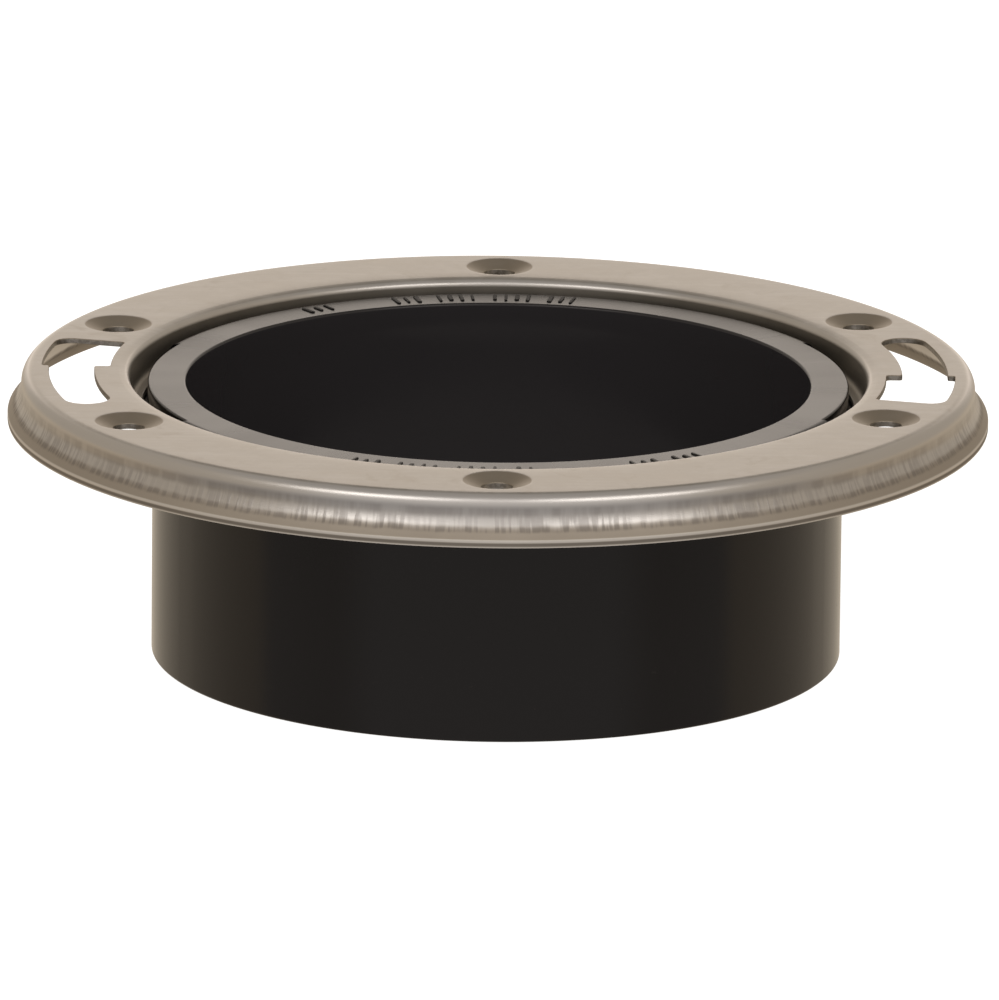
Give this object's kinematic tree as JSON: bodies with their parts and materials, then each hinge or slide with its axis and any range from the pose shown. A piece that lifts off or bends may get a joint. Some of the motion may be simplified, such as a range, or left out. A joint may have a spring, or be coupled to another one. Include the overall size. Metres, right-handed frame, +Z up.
{
  "type": "toilet flange",
  "caption": "Closet flange with a moulded plastic hub that slides over a drain pipe and a free-turning pressed steel bolt ring.",
  "frame": {"origin": "centre of the hub's bottom face, on the pipe's axis", "axes": "+Z up along the drain pipe towards the toilet, +X through the ring's two closet-bolt slots at rest, +Y through two of its screw holes"},
  "size_m": [0.1778, 0.1778, 0.0522],
  "materials": {
    "hub_plastic": "black moulded ABS, semi-gloss",
    "ring_steel": "cold-rolled stainless steel, satin with faint rolling grain"
  },
  "bodies": {
    "hub_body": {"hub": "hub_plastic"},
    "ring_body": {"swivel_ring": "ring_steel"}
  },
  "joints": [
    {"name": "ring_swivel", "type": "hinge", "parent": "hub_body", "child": "ring_body", "pos_m": [0, 0, 0.0455], "axis": [0, 0, 1], "continuous": true}
  ]
}
